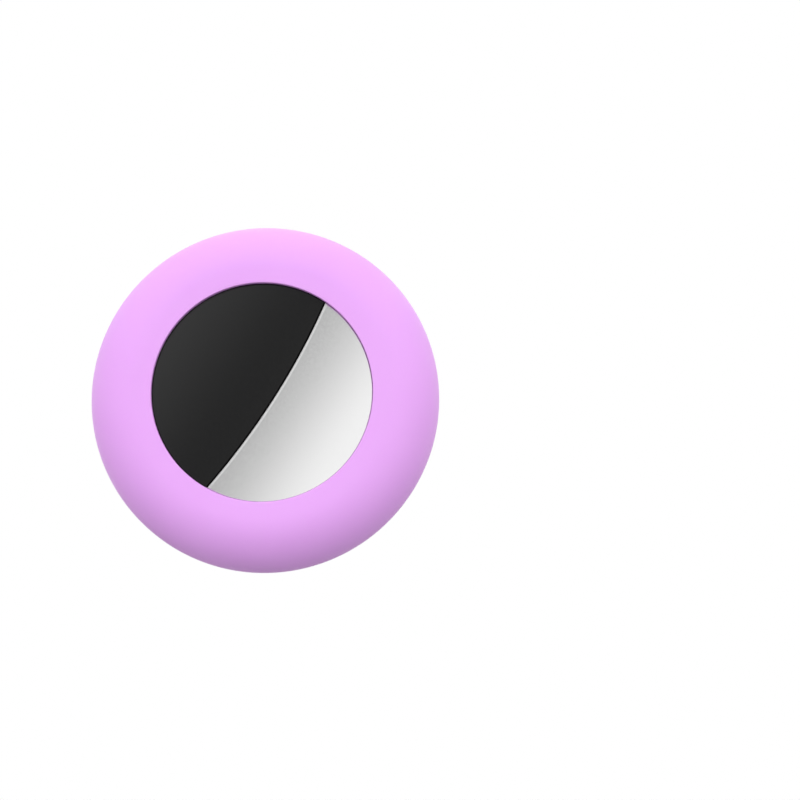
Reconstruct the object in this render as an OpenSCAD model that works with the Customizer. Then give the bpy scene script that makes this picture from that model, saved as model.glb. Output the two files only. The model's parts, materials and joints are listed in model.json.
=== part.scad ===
// Tracker tag holder: a silicone sleeve that grips a round coin-cell tag and threads onto a strap.
// Pieces are drawn lying down with the front up, and upright() stands them on edge, front to -Y, top to +Z.
// The origin is the middle of the strap slot, on the axis of the tag.

/* [Sleeve] */
// Wall of the sleeve beside the tag at its widest
rim_wall = 3.93; // [3:0.01:5]
// Wall of the sleeve behind the tag
back_wall = 2.5; // [1.5:0.01:3]
// Thickness of the front lip at the window
lip_t = 0.8; // [0.7:0.01:1.6]
// Rise from the middle of the back to the widest line
back_rise = 4.4; // [4:0.1:5]
// Radius of the edge round the back
back_edge_r = 2.5; // [1.5:0.1:3]
// Radius of the rounding from the side to the front
front_edge_r = 5.5; // [4.5:0.1:6]
// Radius on the edge of the window
lip_edge_r = 0.12; // [0.1:0.01:0.4]

/* [Strap loop] */
// Clear width of the slot for the strap
slot_w = 17.8; // [14:0.1:19]
// Clear height of the slot for the strap
slot_h = 5; // [4.4:0.1:7]
// Width of the band across the strap
band_w = 12.5; // [8:0.1:14]
// Thickness of the band over the strap
band_t = 2; // [1.4:0.1:3]
// Thickness of the legs at their feet
leg_t = 2.2; // [1.6:0.1:3]
// Lean of the outside of the legs, in degrees
leg_draft = 5; // [0:0.5:8]
// Radius of the outer corners of the band
band_corner_r = 1.5; // [0.8:0.1:2]
// Radius of the inner corners of the slot
slot_corner_r = 1; // [0.4:0.1:1.4]
// Radius along the long edges of the band
band_edge_r = 0.35; // [0.1:0.05:0.6]

/* [Tag body] */
// Width of the tag's rim round its battery cover
rim_w = 3.3; // [3.25:0.05:5]
// Height of the widest line over the middle of the rear
tag_eq = 4.1; // [3.9:0.1:4.5]
// Radius of the rear edge
rear_edge_r = 2.6; // [2:0.1:2.9]
// Wall of the rear shell
shell_t = 1; // [0.8:0.05:1.1]

/* [Battery cover] */
// Thickness of the cover's sheet
cover_t = 0.4; // [0.25:0.05:0.6]
// Rise of the cover's crown over its edge
cover_crown = 0.65; // [0.3:0.05:0.8]
// How far the cover's edge stands over the bezel
cover_proud = 0.4; // [0:0.01:0.5]
// Thickness of the skirt
skirt_t = 0.3; // [0.2:0.05:0.6]
// Thickness of the liner pressed into the skirt
liner_t = 0.4; // [0.3:0.05:0.8]
// Thickness of the dark panel
panel_t = 0.12; // [0.08:0.01:0.2]
// Radius of the panel's curved edge
panel_arc_r = 76.6; // [40:0.1:120]
// Direction of the centre of that curve, in degrees from +X
panel_dir = 148; // [0:0.5:360]
// How far the panel reaches past the middle of the cover
panel_past = 1.65; // [0:0.05:6]

/* [Bayonet] */
// Number of lugs and tabs
lug_count = 3; // [2:1:4]
// Angle that a lug covers
lug_arc = 20; // [10:1:22]
// Angle that a tab covers
tab_arc = 22; // [12:1:24]
// Turn from released to locked
lock_turn = 25; // [24:1:28]
// Thickness of a lug
lug_h = 0.55; // [0.4:0.05:0.6]
// Thickness of a tab
tab_h = 0.6; // [0.4:0.05:0.7]
// How far the tabs lie below the top of the bay wall
tab_drop = 0.1; // [0.05:0.05:0.2]
// Length of a tab out from the bay wall
tab_l = 0.7; // [0.5:0.05:0.75]

/* [Inner frame] */
// Thickness of the floor
floor_t = 0.6; // [0.5:0.05:0.9]
// Wall round the battery bay
bay_t = 0.8; // [0.6:0.05:1.2]
// How far the bay's wall stops below the top of the cell
bay_low = 0.4; // [0.2:0.05:0.8]
// Thickness of the outer wall
frame_t = 0.8; // [0.5:0.05:1]
// Width of the seal
seal_w = 0.7; // [0.5:0.05:0.8]
// Height of the seal
seal_h = 0.6; // [0.4:0.05:0.8]
// Thickness of the antenna band
antenna_t = 0.15; // [0.1:0.01:0.3]
// Width of the antenna band
antenna_w = 1.4; // [0.8:0.1:1.6]
// Break in the antenna band, in degrees
antenna_gap = 30; // [10:1:90]

/* [Circuit board] */
// Outside diameter of the circuit board
board_d = 22; // [20:0.1:24]
// Thickness of the circuit board
board_t = 0.6; // [0.4:0.05:0.8]
// Space between the board and the floor
board_gap = 0.3; // [0.2:0.05:0.5]
// Diameter of the three pegs that hold the board
peg_d = 1; // [0.6:0.1:1.4]
// Distance of the pegs from the board's edge
peg_edge = 1.2; // [1:0.1:1.6]
// Height of the chips
chip_h = 0.45; // [0.3:0.05:0.6]
// Width of the largest chip
chip_w = 3; // [2:0.1:3.4]
// Length of the radio's shield
shield_l = 4.6; // [3:0.1:5]
// Depth of the chips and the shield, from the middle of the board outwards
chip_l = 2.6; // [2:0.1:2.8]

/* [Sounder] */
// Diameter of the magnet
magnet_d = 5.4; // [4.6:0.1:6]
// Thickness of the pole plate on the magnet
pole_t = 0.3; // [0.2:0.05:0.5]
// Air round the coil
coil_air = 0.3; // [0.2:0.05:0.5]
// Thickness of the coil's winding
coil_t = 1.1; // [0.6:0.1:1.4]
// Height of the coil
coil_h = 1.2; // [0.8:0.1:1.5]
// Wall of the yoke
yoke_wall = 0.5; // [0.3:0.05:0.8]
// Depth of the yoke's wall
yoke_h = 1.1; // [0.8:0.1:1.3]

/* [Coin cell] */
// Diameter of the cell
cell_d = 20; // [16:0.1:24.5]
// Thickness of the cell
cell_t = 3.2; // [2.5:0.05:4]
// Sheet that the can and the cap are pressed from
cell_sheet = 0.25; // [0.2:0.01:0.3]
// How far the can's crimp reaches in
crimp_l = 0.9; // [0.7:0.05:1.2]
// Thickness of the contact leaves
leaf_t = 0.12; // [0.08:0.01:0.15]
// Width of the side contacts
leaf_w = 3; // [2:0.1:4]
// Diameter of the foam pad over the cell
pad_d = 11; // [6:0.5:14]
// Thickness of the foam pad
pad_t = 0.37; // [0.2:0.01:0.8]

/* [Fits] */
// Gap between the sleeve and the tag
grip_gap = 0.12; // [0.08:0.01:0.2]
// Gap round the cover in the bezel
cover_gap = 0.15; // [0.1:0.01:0.25]
// Gap between the cover and the lip round it
lip_gap = 0.05; // [0.04:0.01:0.2]
// Running gap round the lugs and tabs
lug_gap = 0.15; // [0.1:0.01:0.25]
// Gap round the cell in its bay
bay_gap = 0.15; // [0.1:0.01:0.3]
// Gap under the cell, over its contact
cell_gap = 0.08; // [0.04:0.01:0.2]
// Gap between pieces that are fitted for good
seat_gap = 0.05; // [0.02:0.01:0.08]
// Room between what moves or sounds and the shell
shell_gap = 0.2; // [0.1:0.05:0.4]

/* [Hidden] */
$fn = 120;

// Radii, from the cell outwards to the sleeve
cell_r = cell_d / 2;
bay_r = cell_r + bay_gap;
bay_out = bay_r + bay_t;
tab_out = bay_out + tab_l;
lug_in = bay_out + lug_gap;
liner_in = tab_out + lug_gap;
skirt_in = liner_in + liner_t;
cover_r = skirt_in + skirt_t;
bezel_r = cover_r + cover_gap;
window_r = cover_r + lip_gap;
tag_r = bezel_r + rim_w;
sleeve_r = tag_r + grip_gap + rim_wall;
frame_in = bezel_r + cover_gap;
frame_out = frame_in + frame_t;
crown_r = (cover_r * cover_r + cover_crown * cover_crown) / (2 * cover_crown);

// Radii of the sounder and the board round it
pole_r = magnet_d / 2 + seat_gap;
coil_in = pole_r + coil_air;
yoke_in = coil_in + coil_t + coil_air;
yoke_r = yoke_in + yoke_wall;
board_in = yoke_r + peg_edge / 3;
board_r = board_d / 2;
peg_r = board_r - peg_edge;
chip_r = board_in + chip_l / 2 + seat_gap;

// Radius of a dome that runs smoothly into a rounded edge, and its rise at a distance from the axis
function dome_r(edge, round, rise) = (pow(edge - round, 2) + rise * rise - round * round)
    / (2 * (rise - round));
function dome_rise(big, r) = big - sqrt(big * big - r * r);

// Heights, from the rear of the tag to the top of its cover
rear_dome_r = dome_r(tag_r, rear_edge_r, tag_eq) - shell_t;
board_z = shell_t + max(dome_rise(rear_dome_r, board_r) + shell_gap / 2,
    dome_rise(rear_dome_r, chip_r + chip_l / 2 + seat_gap) + chip_h + seat_gap);
floor_z = board_z + board_t + board_gap;
floor_top = floor_z + floor_t;
pole_z = shell_t + shell_gap;
coil_z = shell_t + shell_gap;
magnet_z = pole_z + pole_t;
cell_z = floor_top + leaf_t + cell_gap;
cell_top = cell_z + cell_t;
bay_top = cell_top - bay_low;
tab_z = bay_top - tab_drop - tab_h;
lug_z = tab_z - lug_gap - lug_h;
pad_z = cell_top + seat_gap;
tag_t = pad_z + pad_t + dome_rise(crown_r - cover_t, pad_d / 2) + seat_gap + cover_t;
cover_edge = tag_t - cover_crown;
bezel_top = cover_edge - cover_proud;
bezel_round = bezel_top - tag_eq;
seal_z = bezel_top - shell_t - shell_gap - seal_h;
contact_h = (bay_top - floor_top) * 2 / 3;

// Heights of the tag and the sleeve over the middle of the slot
tag_z = slot_h / 2 + back_wall + grip_gap;
sleeve_eq = slot_h / 2 + back_rise;
sleeve_top = tag_z + bezel_top + grip_gap + lip_t;
side_band = sleeve_top - sleeve_eq - front_edge_r;
loop_z = -slot_h / 2 - band_t;
foot_half = slot_w / 2 + leg_t;
over = cover_t * 2.5;

// Half outline below the widest line: a dome with a rounded edge
module domed_half(edge, round, rise) {
    big = dome_r(edge, round, rise);
    lean = atan2(edge - round, big - rise);
    reach = big + over;
    intersection() {
        translate([0, big - rise]) circle(r = big, $fn = 360);
        polygon([[0, 0], [edge - round, 0], [reach * sin(lean), big - rise - reach * cos(lean)],
            [0, -rise - over]]);
    }
    intersection() {
        translate([edge - round, 0]) circle(r = round);
        translate([edge - 2 * round, -round]) square([2 * round, round]);
    }
}

// Half outline above the widest line: flat on top with a quarter-round rim
module rim_half(edge, round) {
    square([edge - round, round]);
    intersection() {
        translate([edge - round, 0]) circle(r = round);
        translate([edge - round, 0]) square([round, round]);
    }
}

// Half outline of the tag without its cover, grown by a gap or shrunk by a wall
module tag_outline(grow) {
    translate([0, tag_eq]) {
        rim_half(tag_r + grow, bezel_round + grow);
        domed_half(tag_r + grow, rear_edge_r + grow, tag_eq + grow);
    }
}

// A ring or disc of rectangular section
module ring(r_in, r_out, z, h) {
    rotate_extrude() translate([r_in, z]) square([r_out - r_in, h]);
}

// Ring sectors, spread evenly round the axis
module sectors(count, r_in, r_out, arc, first, z, h) {
    for (i = [0:count - 1])
        rotate([0, 0, first + i * 360 / count - arc / 2])
            rotate_extrude(angle = arc) translate([r_in, z]) square([r_out - r_in, h]);
}

module upright() { rotate([90, 0, 0]) children(); }
module in_tag() { upright() translate([0, 0, tag_z]) children(); }

// Outline of the strap loop seen from its end, with the slot still filled
module loop_outline() {
    corner_z = loop_z + band_corner_r;
    lean_in = (slot_h / 2 - corner_z) * tan(leg_draft);
    corner_x = foot_half - band_corner_r / cos(leg_draft) - lean_in;
    side_x = corner_x + band_corner_r * cos(leg_draft);
    side_z = corner_z - band_corner_r * sin(leg_draft);
    root_x = foot_half + back_wall * tan(leg_draft);
    root_z = slot_h / 2 + back_wall;
    polygon([[-corner_x, loop_z], [corner_x, loop_z], [side_x, side_z], [root_x, root_z],
        [-root_x, root_z], [-side_x, side_z]]);
    for (s = [-1, 1])
        translate([s * corner_x, corner_z]) circle(r = band_corner_r);
}

// The slot that the strap runs through, with rounded corners under the band
module slot_outline() {
    corner_x = slot_w / 2 - slot_corner_r;
    corner_z = slot_corner_r - slot_h / 2;
    translate([-slot_w / 2, corner_z]) square([slot_w, slot_h + back_wall]);
    translate([-corner_x, -slot_h / 2]) square([2 * corner_x, slot_corner_r + 0.1]);
    for (s = [-1, 1])
        translate([s * corner_x, corner_z]) circle(r = slot_corner_r);
}

// Width of the band seen from the side, with its long edges rounded
module band_outline() {
    edge_y = band_w / 2 - band_edge_r;
    translate([-band_w / 2, loop_z + band_edge_r]) square([band_w, slot_h + band_t + back_wall]);
    translate([-edge_y, loop_z]) square([2 * edge_y, slot_h]);
    for (s = [-1, 1])
        translate([s * edge_y, loop_z + band_edge_r]) circle(r = band_edge_r);
}

module strap_loop() {
    intersection() {
        rotate([90, 0, 0])
            linear_extrude(height = band_w, center = true)
                difference() {
                    loop_outline();
                    slot_outline();
                }
        rotate([90, 0, 90])
            linear_extrude(height = 4 * foot_half, center = true) band_outline();
    }
}

// Space for the tag, the window in front of it and the rounding of the window's edge
module pocket_outline() {
    flare = window_r + lip_edge_r;
    translate([0, tag_z]) tag_outline(grip_gap);
    translate([0, sleeve_eq]) square([window_r, side_band + front_edge_r + over]);
    difference() {
        translate([window_r - 0.1, sleeve_top - lip_edge_r]) square([lip_edge_r + 0.1, lip_edge_r + over]);
        translate([flare, sleeve_top - lip_edge_r]) circle(r = lip_edge_r);
    }
}

module silicone_sleeve() {
    color("#eeb1fb") upright() difference() {
        union() {
            rotate_extrude() translate([0, sleeve_eq]) {
                translate([0, side_band]) rim_half(sleeve_r, front_edge_r);
                square([sleeve_r, side_band]);
                domed_half(sleeve_r, back_edge_r, back_rise);
            }
            strap_loop();
        }
        rotate_extrude() pocket_outline();
    }
}

module rear_shell() {
    color("white") in_tag() rotate_extrude() difference() {
        tag_outline(0);
        tag_outline(-shell_t);
        translate([0, tag_eq]) square([bezel_r, bezel_round + over]);
    }
}

module board_pegs(d, z, h) {
    for (a = [30:120:270])
        rotate([0, 0, a]) translate([peg_r, 0, z]) cylinder(d = d, h = h);
}

// Half section of the frame: floor, bay wall and outer wall
module frame_outline() {
    hole_r = yoke_r + seat_gap;
    translate([hole_r, floor_z]) square([frame_out - hole_r, floor_t]);
    translate([bay_r, floor_z]) square([bay_t, bay_top - floor_z]);
    translate([frame_in, floor_z]) square([frame_t, seal_z - floor_z]);
}

function side_contact_angles() = [60, 180];

module inner_frame() {
    color("#2b2d30") in_tag() {
        difference() {
            rotate_extrude() frame_outline();
            for (a = side_contact_angles())
                rotate([0, 0, a]) translate([cell_r, -leaf_w / 2 - bay_gap, floor_top])
                    cube([bay_gap + 1.5 * bay_t, leaf_w + 2 * bay_gap, 1.15 * contact_h]);
        }
        sectors(lug_count, bay_out - bay_t / 2, tab_out, tab_arc, 0, tab_z, tab_h);
        board_pegs(2 * peg_d, floor_z - board_gap, board_gap + floor_t / 2);
        board_pegs(peg_d, board_z - seat_gap, board_t + board_gap);
    }
}

module seal_ring() {
    color("#9aa0a6") in_tag() ring(bezel_r + seat_gap, bezel_r + seat_gap + seal_w, seal_z, seal_h);
}

module antenna_ring() {
    color("#c98a4b") in_tag() rotate([0, 0, 90 + antenna_gap / 2])
        rotate_extrude(angle = 360 - antenna_gap)
            translate([frame_out, floor_top]) square([antenna_t, antenna_w]);
}

module circuit_board() {
    key_w = board_t * 2;
    color("#1f5c3d") in_tag() difference() {
        ring(board_in, board_r, board_z, board_t);
        board_pegs(peg_d + 2 * seat_gap, board_z - over, board_t + 2 * over);
        rotate([0, 0, -90]) translate([board_r - key_w / 2, -key_w / 2, board_z - over])
            cube([key_w, key_w, board_t + 2 * over]);
    }
}

// A flat package soldered to the rear of the board
module package(angle, l, w) {
    rotate([0, 0, angle]) translate([chip_r - l / 2, -w / 2, board_z - chip_h]) cube([l, w, chip_h]);
}

module board_chips() {
    color("#202225") in_tag() {
        package(75, chip_l, chip_w);
        package(115, 0.6 * chip_l, 0.65 * chip_w);
        package(330, 0.8 * chip_l, 0.8 * chip_w);
        for (i = [0:4]) package(225 + 12 * i, 0.4 * chip_l, 0.2 * chip_w);
    }
}

module radio_shield() { color("#c7c9cc") in_tag() package(180, chip_l, shield_l); }
module voice_coil() { color("#b8743a") in_tag() ring(coil_in, coil_in + coil_t, coil_z, coil_h); }
module pole_plate() { color("#8f949a") in_tag() ring(0, pole_r, pole_z, pole_t); }
module speaker_magnet() { color("#6d7278") in_tag() ring(0, magnet_d / 2, magnet_z, floor_z - magnet_z); }

module magnet_yoke() {
    color("#a4a9ae") in_tag() rotate_extrude() {
        translate([0, floor_z]) square([yoke_r, floor_t]);
        translate([yoke_in, floor_z - yoke_h]) square([yoke_wall, yoke_h + floor_t / 2]);
    }
}

module negative_contact() {
    arm_w = leaf_w * 0.4;
    color("#d9c27a") in_tag() {
        ring(0, yoke_r * 0.32, floor_top, leaf_t);
        for (a = [0:120:240])
            rotate([0, 0, a]) translate([0, -arm_w / 2, floor_top]) cube([cell_r * 0.65, arm_w, leaf_t]);
    }
}

module positive_contacts() {
    color("#d9c27a") in_tag() for (a = side_contact_angles())
        rotate([0, 0, a]) translate([bay_r - seat_gap, -leaf_w / 2, floor_top]) {
            cube([leaf_t, leaf_w, contact_h]);
            cube([1.5 * bay_t, leaf_w, leaf_t]);
        }
}

// Heights and radii inside the cell
crimp_z = cell_z + 0.6 * cell_sheet;
gasket_z = crimp_z + cell_sheet;
cap_top = cell_z + 0.47 * cell_t;
cap_r = cell_r - crimp_l - 0.8 * cell_sheet;
filling_r = cell_r - 2 * cell_sheet;

module cell_can() {
    color("#cfd2d5") in_tag() rotate_extrude() {
        translate([0, cell_top - cell_sheet]) square([cell_r, cell_sheet]);
        translate([cell_r - cell_sheet, crimp_z]) square([cell_sheet, cell_top - crimp_z]);
        translate([cell_r - crimp_l, crimp_z]) square([crimp_l, cell_sheet]);
    }
}

module cell_cap() {
    color("#b9bdc1") in_tag() rotate_extrude() {
        translate([0, cell_z]) square([cap_r, cell_sheet]);
        translate([cap_r - cell_sheet, cell_z]) square([cell_sheet, cap_top - cell_z]);
    }
}

module cell_gasket() {
    color("#6f7a80") in_tag() ring(cap_r, cell_r - cell_sheet, gasket_z, cap_top - gasket_z);
}

module cell_cathode() {
    filling_z = cap_top + 2 * cell_sheet;
    color("#26282b") in_tag() ring(0, filling_r, filling_z, cell_top - cell_sheet - filling_z);
}

module cell_separator() {
    color("#f2f2ea") in_tag() ring(0, filling_r, cap_top + cell_sheet, cell_sheet);
}

module cell_anode() {
    color("#a9adb2") in_tag()
        ring(0, cap_r - 1.5 * cell_sheet, cell_z + cell_sheet, cap_top - cell_z);
}

module pressure_pad() { color("#3a3c40") in_tag() ring(0, pad_d / 2, pad_z, pad_t); }

// A layer of the crowned sheet, between two depths below its outside
module crown_layer(upper, lower, r_out) {
    intersection() {
        difference() {
            translate([0, tag_t - crown_r]) circle(r = crown_r - upper, $fn = 720);
            translate([0, tag_t - crown_r]) circle(r = crown_r - lower, $fn = 720);
        }
        translate([0, cover_edge - 2 * over]) square([r_out, 6 * over]);
    }
}

// The part of the cover's face that is dark, as a prism
module dark_area(gap) {
    reach = panel_arc_r - panel_past;
    translate([reach * cos(panel_dir), reach * sin(panel_dir), cover_edge - over])
        cylinder(r = panel_arc_r - gap, h = 4 * over, $fn = 720);
}

module battery_cover() {
    color("#d5d7da") in_tag() difference() {
        rotate_extrude() {
            crown_layer(0, cover_t, cover_r);
            translate([skirt_in, lug_z]) square([skirt_t, cover_edge - cover_t / 2 - lug_z]);
        }
        intersection() {
            rotate_extrude() crown_layer(-over, panel_t, cover_r + over);
            dark_area(0);
        }
    }
}

module cover_liner() {
    color("#e9e9e6") in_tag() {
        ring(liner_in, skirt_in, lug_z, cover_edge - cover_t - seat_gap - lug_z);
        sectors(lug_count, lug_in, liner_in + liner_t / 2, lug_arc, lock_turn, lug_z, lug_h);
    }
}

module cover_dark_panel() {
    color("#1d1d1f") in_tag() intersection() {
        rotate_extrude() crown_layer(0, panel_t, cover_r);
        dark_area(panel_t / 6);
    }
}

silicone_sleeve();
rear_shell();
inner_frame();
seal_ring();
antenna_ring();
circuit_board();
board_chips();
radio_shield();
voice_coil();
pole_plate();
speaker_magnet();
magnet_yoke();
negative_contact();
positive_contacts();
cell_can();
cell_cap();
cell_gasket();
cell_cathode();
cell_separator();
cell_anode();
pressure_pad();
battery_cover();
cover_liner();
cover_dark_panel();
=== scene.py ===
import json
import math
from collections import namedtuple

import bmesh
import bpy
from mathutils import Euler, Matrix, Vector


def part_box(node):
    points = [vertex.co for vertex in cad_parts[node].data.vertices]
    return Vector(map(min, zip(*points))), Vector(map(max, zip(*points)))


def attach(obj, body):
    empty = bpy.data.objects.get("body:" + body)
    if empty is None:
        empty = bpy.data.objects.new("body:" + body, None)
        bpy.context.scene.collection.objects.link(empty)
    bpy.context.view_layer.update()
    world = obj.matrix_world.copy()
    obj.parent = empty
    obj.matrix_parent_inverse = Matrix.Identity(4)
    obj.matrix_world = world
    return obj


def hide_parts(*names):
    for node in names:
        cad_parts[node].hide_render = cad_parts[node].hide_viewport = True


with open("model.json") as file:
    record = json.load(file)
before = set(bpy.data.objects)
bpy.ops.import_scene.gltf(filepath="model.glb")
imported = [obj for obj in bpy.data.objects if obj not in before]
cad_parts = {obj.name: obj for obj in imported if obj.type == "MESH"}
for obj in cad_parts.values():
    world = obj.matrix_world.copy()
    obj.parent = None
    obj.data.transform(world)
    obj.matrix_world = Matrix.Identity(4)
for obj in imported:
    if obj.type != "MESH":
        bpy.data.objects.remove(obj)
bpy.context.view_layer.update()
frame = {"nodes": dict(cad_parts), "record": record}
print("frame loaded:", len(frame["nodes"]), "nodes")

mm = 0.001
weld = 1e-7  # points of one piece that are nearer than this, in metres, become one
thirds = (0, 120, 240)  # lugs, tabs, pegs and contact arms come in threes
bodyOf = {node: body for body, nodes in frame["record"]["behaviour"]["bodies"].items()
          for node in nodes}
slotOf = {row["node"]: row["material_slot"] for row in frame["record"]["subparts"]}


# Pieces are drawn lying down in millimetres, front up, and stood up here: front to -Y, top to +Z
def standUp(x, y, z):
    return Vector((x, -z, y)) * mm


# Radius, rear and front of a CAD node in that drawing
Reach = namedtuple("Reach", "radius rear front")


def reachOf(node):
    low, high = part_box(node)
    return Reach((high.x - low.x) / 2 / mm, -high.y / mm, -low.y / mm)


# Fitted to the left view of the photo
camera = {
    "lens": 110,
    "sensor": 36,
    "nearest": 10,
    "distance": 281.95,
    "pitch": 9.05,
    "yaw": -1.23,
    "sideways": -15.48,
    "upwards": 0.024,
    "aim": 6.9,  # the sleeve's widest line, in front of the slot's middle
}


def makeCamera():
    data = bpy.data.cameras.new("photoCamera")
    data.lens = camera["lens"]
    data.sensor_width = camera["sensor"]
    data.clip_start = camera["nearest"] * mm
    cam = bpy.data.objects.new("photoCamera", data)
    bpy.context.scene.collection.objects.link(cam)
    cam.rotation_euler = (math.radians(90 + camera["pitch"]), 0, math.radians(-camera["yaw"]))
    offset = Vector((camera["sideways"], camera["upwards"], -camera["distance"])) * mm
    turn = Euler(cam.rotation_euler).to_matrix()
    cam.location = standUp(0, 0, camera["aim"]) - turn @ offset
    bpy.context.scene.camera = cam


# Adds a shader node. An input is either a value or another node's output
def addNode(tree, kind, inputs=None, **values):
    node = tree.nodes.new(kind)
    for key, value in values.items():
        setattr(node, key, value)
    for key, value in (inputs or {}).items():
        if hasattr(value, "is_output"):
            tree.links.new(value, node.inputs[key])
        else:
            node.inputs[key].default_value = value
    return node


def mixNumbers(tree, fac, first, second):
    inputs = {"Factor": fac, "A": first, "B": second}
    return addNode(tree, "ShaderNodeMix", inputs, data_type="FLOAT").outputs["Result"]


def mixColours(tree, fac, first, second):
    node = addNode(tree, "ShaderNodeMix", {"Factor": fac}, data_type="RGBA")
    node.inputs["A"].default_value = (*first, 1)
    node.inputs["B"].default_value = (*second, 1)
    return node.outputs["Result"]


def eitherOf(tree, first, second):
    return addNode(tree, "ShaderNodeMath", {0: first, 1: second}, operation="MAXIMUM").outputs[0]


def newFinish(name, **constants):
    mat = bpy.data.materials.new(name)
    mat.use_nodes = True
    tree = mat.node_tree
    shader = tree.nodes["Principled BSDF"]
    for key, value in constants.items():
        shader.inputs[key].default_value = value
    return mat, tree, shader


# An even room with a soft light in front and one behind, and the graded panels that polished
# faces mirror. The panels are given by their place along the tilt and their level
studio = {
    "room": 0.86,
    "softLight": 1.55,
    "panelTilt": (0.843, 0, -0.537),
    "panelReach": 0.8,
    "panels": [(-0.7, 0.86), (-0.45, 1.7), (-0.2, 0.36), (-0.1, 0.52), (0.07, 1.31), (0.12, 1.4),
               (0.2, 0.74), (0.4, 0.68), (0.6, 1.1), (0.78, 0.6)],
}


def makeWorld():
    world = bpy.data.worlds.new("studio")
    bpy.context.scene.world = world
    world.use_nodes = True
    tree = world.node_tree
    direction = addNode(tree, "ShaderNodeTexCoord").outputs["Generated"]
    depth = addNode(tree, "ShaderNodeSeparateXYZ", {"Vector": direction}).outputs["Y"]
    facing = addNode(tree, "ShaderNodeMath", {0: depth, 1: depth}, operation="MULTIPLY").outputs[0]
    soft = addNode(tree, "ShaderNodeMath", {0: facing, 1: studio["softLight"], 2: studio["room"]},
                   operation="MULTIPLY_ADD").outputs[0]
    across = addNode(tree, "ShaderNodeVectorMath", {0: direction, 1: studio["panelTilt"]},
                     operation="DOT_PRODUCT").outputs["Value"]
    reach = studio["panelReach"]
    place = addNode(tree, "ShaderNodeMapRange",
                    {"Value": across, "From Min": -reach, "From Max": reach}).outputs["Result"]
    ramp = addNode(tree, "ShaderNodeValToRGB", {"Fac": place})
    stops = ramp.color_ramp.elements
    while len(stops) < len(studio["panels"]):
        stops.new(0.5)
    for stop, (where, level) in zip(stops, studio["panels"]):
        stop.position = (where + reach) / (2 * reach)
        stop.color = (level, level, level, 1)
    path = addNode(tree, "ShaderNodeLightPath").outputs
    mirrored = mixNumbers(tree, path["Is Glossy Ray"], soft, ramp.outputs["Color"])
    seen = eitherOf(tree, path["Is Camera Ray"], path["Is Transmission Ray"])
    back = tree.nodes["Background"]
    back.inputs["Color"].default_value = (1, 1, 1, 1)
    tree.links.new(mixNumbers(tree, seen, mirrored, 1.0), back.inputs["Strength"])


# The holder hangs on a strap that isn't part of it, so the floor lies well below
floor = {"below": 62, "radius": 4000, "corners": 96, "tone": 0.375, "seen": 0.8}


def makeFloor():
    bm = bmesh.new()
    bmesh.ops.create_circle(bm, cap_ends=True, segments=floor["corners"],
                            radius=floor["radius"] * mm)
    data = bpy.data.meshes.new("floor")
    bm.to_mesh(data)
    bm.free()
    obj = bpy.data.objects.new("floor", data)
    obj.location.z = -floor["below"] * mm
    bpy.context.scene.collection.objects.link(obj)
    mat, tree, shader = newFinish("paleFloor", **{"Roughness": 1.0, "Specular IOR Level": 0.0})
    path = addNode(tree, "ShaderNodeLightPath").outputs
    tone = mixNumbers(tree, path["Is Camera Ray"], floor["tone"], floor["seen"])
    tree.links.new(tone, shader.inputs["Base Color"])
    # polished faces mirror the panels below the horizon too
    clear = addNode(tree, "ShaderNodeBsdfTransparent").outputs[0]
    mixed = addNode(tree, "ShaderNodeMixShader",
                    {0: path["Is Glossy Ray"], 1: shader.outputs[0], 2: clear}).outputs[0]
    tree.links.new(mixed, tree.nodes["Material Output"].inputs["Surface"])
    data.materials.append(mat)


makeCamera()
makeWorld()
makeFloor()
bpy.context.scene.view_settings.view_transform = "Standard"
print("camera, light and floor ready")


def objectCoords(tree):
    return addNode(tree, "ShaderNodeTexCoord").outputs["Object"]


def noise(tree, grain, detail, roughness=0.5):
    inputs = {"Vector": objectCoords(tree), "Scale": 1 / (grain * mm), "Detail": detail,
              "Roughness": roughness}
    return addNode(tree, "ShaderNodeTexNoise", inputs).outputs["Fac"]


def spread(tree, value, low, high, fromLow=0.3, fromHigh=0.7):
    inputs = {"Value": value, "From Min": fromLow, "From Max": fromHigh, "To Min": low,
              "To Max": high}
    return addNode(tree, "ShaderNodeMapRange", inputs).outputs["Result"]


def addColour(tree, shader, pattern, first, second):
    tree.links.new(mixColours(tree, pattern, first, second), shader.inputs["Base Color"])


def addRoughness(tree, shader, grain, middle, vary):
    rough = spread(tree, grain, middle - vary, middle + vary)
    tree.links.new(rough, shader.inputs["Roughness"])


def addBump(tree, shader, height, depth):
    bump = addNode(tree, "ShaderNodeBump", {"Height": height, "Distance": depth * mm})
    tree.links.new(bump.outputs["Normal"], shader.inputs["Normal"])


silicone = {
    "tone": (0.815, 0.408, 0.93),
    "shade": (0.80, 0.396, 0.915),
    "cloud": 9,  # size of the faint clouds between the two
    "cloudDetail": 2,
    "roughness": 0.58,
    "vary": 0.04,
    "grain": 0.12,
    "grainDetail": 4,
    "grainRoughness": 0.6,
    "depth": 0.005,
    "soft": 0.12,
    "softRadius": (1.0, 0.55, 1.0),
    "softReach": 0.6,
    "specular": 0.35,
    "sheen": 0.03,
}


# Satin lilac silicone: faint clouds in the colour and the fine grain of a blasted mould
def siliconeFinish():
    mat, tree, shader = newFinish("lilacSilicone", **{
        "Subsurface Weight": silicone["soft"],
        "Subsurface Radius": silicone["softRadius"],
        "Subsurface Scale": silicone["softReach"] * mm,
        "Specular IOR Level": silicone["specular"],
        "Sheen Weight": silicone["sheen"],
    })
    cloud = spread(tree, noise(tree, silicone["cloud"], silicone["cloudDetail"]), 0, 1)
    addColour(tree, shader, cloud, silicone["shade"], silicone["tone"])
    fine = noise(tree, silicone["grain"], silicone["grainDetail"], silicone["grainRoughness"])
    addRoughness(tree, shader, fine, silicone["roughness"], silicone["vary"])
    addBump(tree, shader, fine, silicone["depth"])
    return mat


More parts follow.
